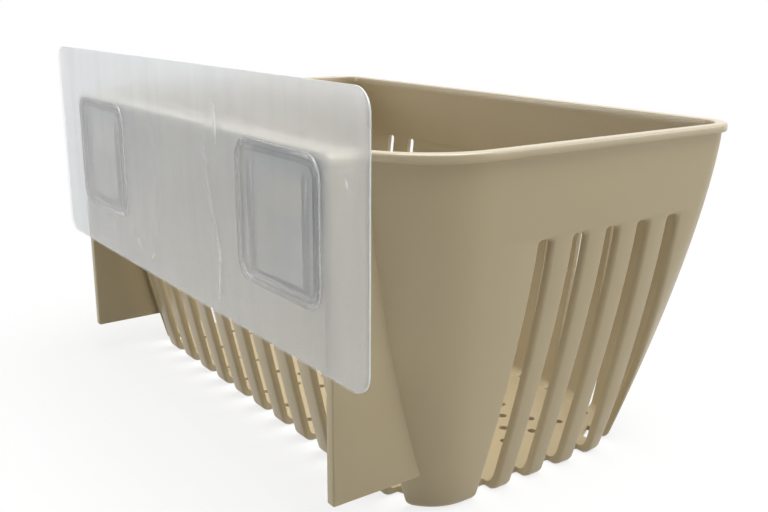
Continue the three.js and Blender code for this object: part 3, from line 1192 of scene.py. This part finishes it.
    def build(self) -> bpy.types.Object:
        """Make the finished basket and put it in place of its CAD node.

        Returns:
            The basket.
        """
        shell = self.shell()
        first_tab = self.tab()
        first_tab.data.transform(Matrix.Translation((-self.tab_middle * MM, 0.0, 0.0)))
        first_end = self.end_slot_start + self.end_slot_pitch
        first_rear = (3 - self.rear_slots) / 2 * self.slot_pitch
        hole_middle = self.base.rear + self.hole_row_margin + (self.hole_rows - 1) * self.hole_row_pitch
        helpers = {
            "Rear Frame": self.rear_frame(),
            "Core": self.core(),
            "Tab": first_tab,
            "Left Slot": self.slot_cutter(Side.END_LEFT, self.end_slot, first_end),
            "Right Slot": self.slot_cutter(Side.END_RIGHT, self.end_slot, first_end),
            "Rear Slot": self.slot_cutter(Side.REAR, self.rear_slot, first_rear),
            "Odd Slots": self.odd_slots(),
            "Drain Hole": self.hole_cutter(),
        }
        values = {
            **helpers,
            "Tab Spread": 2 * self.tab_middle * MM,
            "Slot Pitch": self.slot_pitch * MM,
            "End Slot Pitch": self.end_slot_pitch * MM,
            "End Slots": self.end_slots - 1,
            "Rear Slots": self.rear_slots - 2,
            "Hole Columns": self.hole_columns,
            "Hole Rows": self.hole_rows,
            "Hole Row Pitch": self.hole_row_pitch * MM,
            "Hole Field Middle": -hole_middle * MM,
            "Plastic": self.finish.material(),
        }
        tree = self.tree()
        moulding = shell.modifiers.new("moulding", "NODES")
        moulding.node_group = tree
        for item in tree.interface.items_tree:
            if item.in_out == "INPUT" and item.name in values:
                moulding[item.identifier] = values[item.name]
        settle(shell)
        remove(*helpers.values())
        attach(shell, "basket")
        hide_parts("basket")
        return shell


@dataclass(frozen=True)
class ClearHook:
    """One clear hook: flange, dished plate, ribbed window and leaning tongue."""

    node: str
    middle: float
    middle_height: float = 87.0
    width: float = 41.0
    rise: float = 37.6
    corner: float = 4.5
    flange: float = 2.0
    flange_round: float = 0.15
    body_round: float = 0.45
    depths: tuple[float, float, float, float] = (0.22, 0.78, 1.4, 2.6)
    overlap: float = 0.1
    cut_past: float = 2.0
    dish_wall: float = 1.2
    window_width: float = 26.4
    window_low: float = 71.2
    window_high: float = 99.1
    window_corner: float = 0.7
    rib_width: float = 3.2
    rib_height: float = 0.7
    rib_rise: float = 2.6
    rib_bend: float = 2.4
    tongue_width: float = 25.6
    tongue_faces: tuple[Flat, Flat] = ((3.51, 71.2), (6.3, 99.1))
    tongue_thickness: float = 1.6
    foot_ease: tuple[Flat, ...] = ((0.8, 0.0), (0.2, 0.3), (0.0, 0.9))
    root_ease: tuple[Flat, ...] = ((-0.05, 0.5), (0.4, 0.0))
    shelf_bottom: float = 69.2
    edge_round: float = 0.42
    edge_angle: float = 50.0
    bend_steps: int = 6
    turn_steps: int = 8
    window_steps: int = 4

    def outline(self, growth: float) -> list[Flat]:
        """Outline of the hook, grown by a margin that may be below nought."""
        width, rise = self.width + 2 * growth, self.rise + 2 * growth
        return rounded_rectangle(width, rise, self.corner + growth, (self.middle, self.middle_height))

    def rib(self) -> bpy.types.Object:
        """Make the U-shaped rib around the lower three sides of the window.

        Returns:
            The rib.
        """
        inner, radius, bend = self.window_width / 2, self.rib_width / 2, self.rib_bend
        ends = self.window_high + self.rib_rise - radius
        low = self.window_low - self.rib_width
        right = [
            *arc((inner + self.rib_width - bend, low + bend), bend, -1, 0, self.bend_steps),
            *arc((inner + radius, ends), radius, 0, 2, self.turn_steps),
            (inner, self.window_low),
        ]
        outline = right + [(-x, z) for x, z in reversed(right)]
        shifted = [(self.middle + x, z) for x, z in outline]
        near, far = self.depths[2] - self.rib_height, self.depths[3] - self.overlap
        return standing_prism("rib", shifted, near, far)

    def tongue(self) -> bpy.types.Object:
        """Make the tongue with the shelf that carries it.

        Returns:
            The tongue.
        """
        (root, root_height), (tip, tip_height) = self.tongue_faces
        shelf, inside = self.shelf_bottom, -self.depths[2] - self.overlap
        half = self.tongue_thickness / 2
        slope = (tip - root) / (tip_height - root_height)
        foot = root + self.tongue_thickness - slope * (root_height - shelf)
        profile = [
            (inside, shelf),
            *((across - foot, shelf + up) for across, up in self.foot_ease),
            *arc((-tip - half, tip_height - half), half, 2, 0, self.bend_steps),
            *((across - root, root_height + up) for across, up in self.root_ease),
            (inside, root_height),
        ]
        return side_prism("tongue", profile, self.middle - self.tongue_width / 2, self.tongue_width)

    def build(self, material: bpy.types.Material) -> bpy.types.Object:
        """Make the finished hook and put it in place of its CAD node.

        Args:
            material: finish of the hook.

        Returns:
            The hook.
        """
        back, step, plate, front = self.depths
        low, high = self.window_low, self.window_high
        centre, past = (self.middle, (high + low) / 2), self.cut_past
        window = rounded_rectangle(
            self.window_width, high - low, self.window_corner, centre, self.window_steps
        )
        body, dish = self.outline(0.0), self.outline(-self.dish_wall)
        hook = standing_prism(
            f"{self.node}_moulding", self.outline(self.flange), back, step, self.flange_round
        )
        combine(hook, [
            (Join.ADD, standing_prism("body", body, back + self.overlap, front, self.body_round)),
            (Join.CUT, standing_prism("dish", dish, back - past, plate)),
            (Join.ADD, self.rib()),
            (Join.CUT, standing_prism("window", window, back - past, front + past)),
            (Join.ADD, self.tongue()),
        ])
        soften = hook.modifiers.new("soften", "BEVEL")
        soften.width = self.edge_round * MM
        soften.segments = 2
        soften.limit_method = "ANGLE"
        soften.angle_limit = math.radians(self.edge_angle)
        settle(hook)
        cut_edge = hook.data.attributes.new("cut_edge", "FLOAT", "FACE")
        for face, value in zip(hook.data.polygons, cut_edge.data):
            corners = [hook.data.vertices[index].co for index in face.vertices]
            longest = max((end - start).length for start, end in zip(corners, (*corners[1:], corners[0])))
            value.value = float(face.area < self.edge_round * MM * longest)
        hook.data.materials.clear()
        hook.data.materials.append(material)
        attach(hook, "wall_mount")
        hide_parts(self.node)
        return hook


@dataclass(frozen=True)
class WallSheet:
    """The flexible sheet with its adhesive and liner, flat as against a wall."""

    hooks: tuple[ClearHook, ...]
    width: float = 218.0
    height: float = 75.4
    corner: float = 6.0
    corner_steps: int = 10
    clearance: float = 0.2
    sheet_depths: Flat = (0.82, 1.3)
    gel_depths: Flat = (0.22, 0.78)
    liner_depths: Flat = (0.0, 0.18)

    def windows(self, growth: float) -> list[list[Flat]]:
        """Outlines of the windows for the hooks, grown by a margin."""
        return [hook.outline(growth) for hook in reversed(self.hooks)]

    def layer(
        self, kind: Layer, depths: Flat, windows: list[list[Flat]], material: bpy.types.Material
    ) -> bpy.types.Object:
        """Make one layer of the sheet and put it in place of its CAD node.

        Args:
            kind: which layer it is.
            depths: depths of its two faces from the wall.
            windows: outlines that are left open.
            material: finish of the layer.

        Returns:
            The layer.
        """
        middle = (0.0, WALL_MIDDLE)
        rim = rounded_rectangle(self.width, self.height, self.corner, middle, self.corner_steps)
        points, edges = [], []
        for loop in (rim, *windows):
            start = len(points)
            points += [Vector(point) for point in loop]
            edges += [(start + i, start + (i + 1) % len(loop)) for i in range(len(loop))]
        inside_with_holes, nearness = 2, 1e-4
        corners, _, triangles, *_ = delaunay_2d_cdt(points, edges, [], inside_with_holes, nearness)
        count = len(corners)
        skin = [(x, -depth, z) for depth in depths for x, z in corners]
        faces = [tuple(face) for face in triangles]
        faces += [tuple(index + count for index in reversed(face)) for face in triangles]
        uses: dict[tuple[int, int], int] = {}
        for face in triangles:
            for start, end in zip(face, (*face[1:], face[0])):
                key = (min(start, end), max(start, end))
                uses[key] = uses.get(key, 0) + 1
        faces += [
            (start, end, end + count, start + count) for (start, end), times in uses.items() if times == 1
        ]
        node, slot = kind.value
        piece = solid(f"{node}_film", skin, faces)
        cut_edge = piece.data.attributes.new("cut_edge", "FLOAT", "FACE")
        for face, value in enumerate(cut_edge.data):
            value.value = float(face >= 2 * len(triangles))
        piece.data.materials.append(material)
        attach(piece, "wall_mount")
        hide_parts(node)
        return piece

    def build(self) -> list[bpy.types.Object]:
        """Make the three layers.

        Returns:
            The sheet, the adhesive and the liner.
        """
        around_hooks = self.windows(self.clearance)
        around_flanges = self.windows(self.hooks[0].flange + self.clearance)
        return [
            self.layer(Layer.SHEET, self.sheet_depths, around_hooks, FrostedFilm().material()),
            self.layer(Layer.GEL, self.gel_depths, around_flanges, Gel().material()),
            self.layer(Layer.LINER, self.liner_depths, [], LinerFilm().material()),
        ]


@dataclass(frozen=True)
class Lamp:
    """One soft square lamp, by its place and aim in metres and its power in watts."""

    name: str
    spot: Point
    size: float
    power: float
    aim: Point = (0.0, -0.07, -0.03)

    def build(self) -> None:
        """Add the lamp to the scene."""
        light = bpy.data.lights.new(self.name, "AREA")
        light.shape = "SQUARE"
        light.size = self.size
        light.energy = self.power
        lamp = bpy.data.objects.new(self.name, light)
        lamp.location = self.spot
        lamp.rotation_euler = (Vector(self.aim) - Vector(self.spot)).to_track_quat("-Z", "Y").to_euler()
        bpy.context.scene.collection.objects.link(lamp)


@dataclass(frozen=True)
class Studio:
    """Pale floor, soft lights and the camera at the photo's angle."""

    camera_place: Point = (-280.22, 120.03, 144.63)
    yaw: float = -0.6309
    pitch: float = -0.2685
    roll: float = -0.0064
    focal_pixels: float = 931.73
    image_width: int = 768
    sensor: float = 36.0
    surround: float = 0.09
    through_film: float = 0.9
    floor_tone: str = "#F2F2F0"
    floor_bounce: str = "#D2D2CF"
    floor_half: float = 2000.0
    floor_middle: Point = (0.0, 70.0, WALL_MIDDLE)
    floor_fade: Flat = (0.13, 0.26)
    floor_white: float = 0.8
    lamps: tuple[Lamp, ...] = (
        Lamp("overhead", (-0.2, -0.25, 1.1), 1.0, 21.0),
        Lamp("right_back", (-0.8, -0.9, 0.3), 0.6, 2.8),
        Lamp("left_front", (0.75, 0.95, 0.08), 0.6, 7.0),
    )

    def camera(self) -> None:
        """Put the camera where the photo was taken from."""
        forward = Vector((
            math.cos(self.pitch) * math.cos(self.yaw),
            math.cos(self.pitch) * math.sin(self.yaw),
            math.sin(self.pitch),
        ))
        right = forward.cross(Vector((0, 0, 1))).normalized()
        down = forward.cross(right)
        across = right * math.cos(self.roll) + down * math.sin(self.roll)
        up = right * math.sin(self.roll) - down * math.cos(self.roll)
        lens = bpy.data.cameras.new("camera")
        lens.sensor_fit = "HORIZONTAL"
        lens.sensor_width = self.sensor
        lens.lens = self.focal_pixels * self.sensor / self.image_width
        lens.clip_start = 0.01
        camera = bpy.data.objects.new("camera", lens)
        turn = Matrix((across, up, -forward)).transposed().to_4x4()
        camera.matrix_world = Matrix.Translation(place(self.camera_place)) @ turn
        bpy.context.scene.collection.objects.link(camera)
        bpy.context.scene.camera = camera

    def seen_directly(self, add: Adder) -> bpy.types.Node:
        """Tell rays that see a surface from the camera, in a reflection or through something clear.

        Args:
            add: the call that adds a node to the tree.

        Returns:
            One for such a ray, less for one that lights a matt surface through the film, and nought for
            any other.
        """
        path = add("ShaderNodeLightPath").outputs
        some = {0: path["Is Camera Ray"], 1: path["Is Glossy Ray"]}
        every = {0: add("ShaderNodeMath", some, operation="MAXIMUM"), 1: path["Is Transmission Ray"]}
        seen = add("ShaderNodeMath", every, operation="MAXIMUM")
        depth = {"Value": path["Diffuse Depth"], "To Min": 1.0, "To Max": self.through_film}
        first = add("ShaderNodeMapRange", depth)
        return add("ShaderNodeMath", {0: seen, 1: first}, operation="MULTIPLY")

    def world(self) -> None:
        """Light the scene with a soft even surround that looks white."""
        world = bpy.data.worlds.new("surround")
        add = blank_tree(world)
        strength = add("ShaderNodeMapRange", {
            "Value": self.seen_directly(add), "To Min": self.surround, "To Max": 1.0,
        })
        surround = add("ShaderNodeBackground", {"Color": WHITE, "Strength": strength})
        add("ShaderNodeOutputWorld", {"Surface": surround})
        bpy.context.scene.world = world

    def floor(self) -> None:
        """Lay a pale floor that keeps the basket's soft shadow and fades to white further off."""
        material = bpy.data.materials.new("pale_floor")
        add = blank_tree(material)
        seen = self.seen_directly(add)
        tones = {"Factor": seen, 6: linear(self.floor_bounce), 7: linear(self.floor_tone)}
        colour = add("ShaderNodeMix", tones, data_type="RGBA").outputs[2]
        matte = add("ShaderNodeBsdfDiffuse", {"Color": colour})
        glow = add("ShaderNodeEmission", {"Color": WHITE, "Strength": 1.0})
        where = add("ShaderNodeTexCoord").outputs["Object"]
        centred = add("ShaderNodeVectorMath", {0: where, 1: place(self.floor_middle)})
        far = add("ShaderNodeVectorMath", {0: centred}, operation="LENGTH").outputs["Value"]
        white = add("ShaderNodeMapRange", {
            "Value": far, "From Min": self.floor_fade[0], "From Max": self.floor_fade[1],
            "To Min": self.floor_white, "To Max": 1.0,
        })
        share = add("ShaderNodeMath", {0: seen, 1: white}, operation="MULTIPLY")
        mixed = add("ShaderNodeMixShader", {0: share, 1: matte, 2: glow})
        add("ShaderNodeOutputMaterial", {"Surface": mixed})
        half = self.floor_half
        plane = bpy.data.meshes.new("floor")
        corners = [(-half, -half, 0.0), (half, -half, 0.0), (half, half, 0.0), (-half, half, 0.0)]
        plane.from_pydata([place(corner) for corner in corners], [], [(0, 1, 2, 3)])
        plane.materials.append(material)
        floor = bpy.data.objects.new("floor", plane)
        bpy.context.scene.collection.objects.link(floor)

    def build(self) -> None:
        """Set up the camera, lights, surround and floor."""
        bpy.context.scene.view_settings.view_transform = "Standard"
        self.camera()
        self.world()
        self.floor()
        for lamp in self.lamps:
            lamp.build()


def main() -> None:
    """Build every piece, in order."""
    logging.basicConfig(level=logging.INFO, format="%(name)s: %(message)s")
    Studio().build()
    hooks = (ClearHook("hook_left", HOOK_MIDDLE), ClearHook("hook_right", -HOOK_MIDDLE))
    pieces = [Basket().build(), *WallSheet(hooks).build()]
    clear = ClearPlastic().material()
    pieces += [hook.build(clear) for hook in hooks]
    for piece in pieces:
        piece.data.calc_loop_triangles()
        LOG.info("%s: %d triangles", piece.name, len(piece.data.loop_triangles))


if __name__ == "__main__":
    main()
